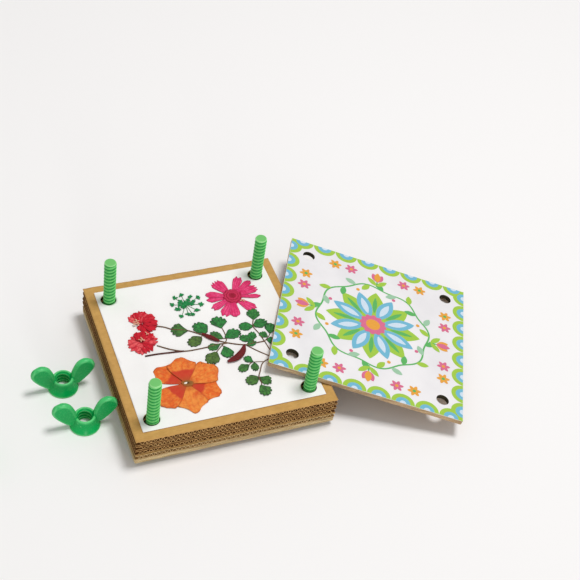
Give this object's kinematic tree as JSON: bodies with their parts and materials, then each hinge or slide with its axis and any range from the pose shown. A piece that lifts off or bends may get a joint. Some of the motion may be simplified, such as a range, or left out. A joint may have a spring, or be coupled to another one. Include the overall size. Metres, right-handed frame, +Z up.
{
  "type": "flower press",
  "caption": "Small square flower press, open: a stack of corrugated sheets and paper on plastic bolts, its upper board leaning on the edge, wing nuts beside it.",
  "frame": {"origin": "on the table, in the middle of the whole set's outline", "axes": "+Z up through the stack along the bolts, +X towards the side where the upper board leans, +Y towards the back of the stack"},
  "size_m": [0.3386, 0.162, 0.0542],
  "materials": {
    "hardboard": "raw hardboard",
    "printed_hardboard": "hardboard with a printed upper face",
    "kraft_cardboard": "matte corrugated kraft",
    "white_paper": "matte",
    "green_plastic": "glossy moulded plastic",
    "bolt_plastic": "glossy moulded plastic",
    "pink_petals": "dried petals, matte",
    "orange_petals": "dried petals, matte",
    "red_petals": "dried petals, matte",
    "umbel_green": "dried florets, matte",
    "leaf_green": "dried leaves, matte"
  },
  "bodies": {
    "base": {"bottom_board": "hardboard"},
    "front_left_bolt": {"bolt_front_left": "bolt_plastic"},
    "front_right_bolt": {"bolt_front_right": "bolt_plastic"},
    "back_left_bolt": {"bolt_back_left": "bolt_plastic"},
    "back_right_bolt": {"bolt_back_right": "bolt_plastic"},
    "sheet_1": {"cardboard_sheet_1": "kraft_cardboard"},
    "paper_1": {"blotting_paper_1": "white_paper"},
    "sheet_2": {"cardboard_sheet_2": "kraft_cardboard"},
    "paper_2": {"blotting_paper_2": "white_paper"},
    "sheet_3": {"cardboard_sheet_3": "kraft_cardboard"},
    "paper_3": {"blotting_paper_3": "white_paper"},
    "sheet_4": {"cardboard_sheet_4": "kraft_cardboard"},
    "top_layer": {"top_paper": "white_paper", "pink_flower": "pink_petals", "orange_flower": "orange_petals", "red_blossom_upper": "red_petals", "red_blossom_lower": "red_petals", "green_umbel": "umbel_green", "leaf_sprig": "leaf_green", "small_leaf_sprig": "leaf_green"},
    "lid": {"top_board": "printed_hardboard"},
    "front_nut": {"wing_nut_front": "green_plastic"},
    "back_nut": {"wing_nut_back": "green_plastic"},
    "outer_front_nut": {"wing_nut_outer_front": "green_plastic"},
    "outer_back_nut": {"wing_nut_outer_back": "green_plastic"}
  },
  "joints": [
    {"name": "front_left_bolt_turn", "type": "hinge", "parent": "base", "child": "front_left_bolt", "pos_m": [-0.06381, -0.04078, 0.0033], "axis": [0, 0, 1], "continuous": true},
    {"name": "front_right_bolt_turn", "type": "hinge", "parent": "base", "child": "front_right_bolt", "pos_m": [0.03019, -0.04078, 0.0033], "axis": [0, 0, 1], "continuous": true},
    {"name": "back_left_bolt_turn", "type": "hinge", "parent": "base", "child": "back_left_bolt", "pos_m": [-0.06381, 0.05322, 0.0033], "axis": [0, 0, 1], "continuous": true},
    {"name": "back_right_bolt_turn", "type": "hinge", "parent": "base", "child": "back_right_bolt", "pos_m": [0.03019, 0.05322, 0.0033], "axis": [0, 0, 1], "continuous": true},
    {"name": "sheet_1_lift", "type": "slide", "parent": "base", "child": "sheet_1", "axis": [0, 0, 1], "range_m": [0, 0.05]},
    {"name": "paper_1_lift", "type": "slide", "parent": "sheet_1", "child": "paper_1", "axis": [0, 0, 1], "range_m": [0, 0.047]},
    {"name": "sheet_2_lift", "type": "slide", "parent": "paper_1", "child": "sheet_2", "axis": [0, 0, 1], "range_m": [0, 0.046]},
    {"name": "paper_2_lift", "type": "slide", "parent": "sheet_2", "child": "paper_2", "axis": [0, 0, 1], "range_m": [0, 0.043]},
    {"name": "sheet_3_lift", "type": "slide", "parent": "paper_2", "child": "sheet_3", "axis": [0, 0, 1], "range_m": [0, 0.042]},
    {"name": "paper_3_lift", "type": "slide", "parent": "sheet_3", "child": "paper_3", "axis": [0, 0, 1], "range_m": [0, 0.039]},
    {"name": "sheet_4_lift", "type": "slide", "parent": "paper_3", "child": "sheet_4", "axis": [0, 0, 1], "range_m": [0, 0.038]},
    {"name": "top_layer_lift", "type": "slide", "parent": "sheet_4", "child": "top_layer", "axis": [0, 0, 1], "range_m": [0, 0.035]},
    {"name": "lid_lift", "type": "slide", "parent": "top_layer", "child": "lid", "axis": [0, 0, 1], "range_m": [0, 0.06]},
    {"name": "front_nut_lift", "type": "slide", "parent": "base", "child": "front_nut", "axis": [0, 0, 1], "range_m": [0, 0.06]},
    {"name": "back_nut_lift", "type": "slide", "parent": "base", "child": "back_nut", "axis": [0, 0, 1], "range_m": [0, 0.06]},
    {"name": "outer_front_nut_lift", "type": "slide", "parent": "base", "child": "outer_front_nut", "axis": [0, 0, 1], "range_m": [0, 0.06]},
    {"name": "outer_back_nut_lift", "type": "slide", "parent": "base", "child": "outer_back_nut", "axis": [0, 0, 1], "range_m": [0, 0.06]}
  ]
}
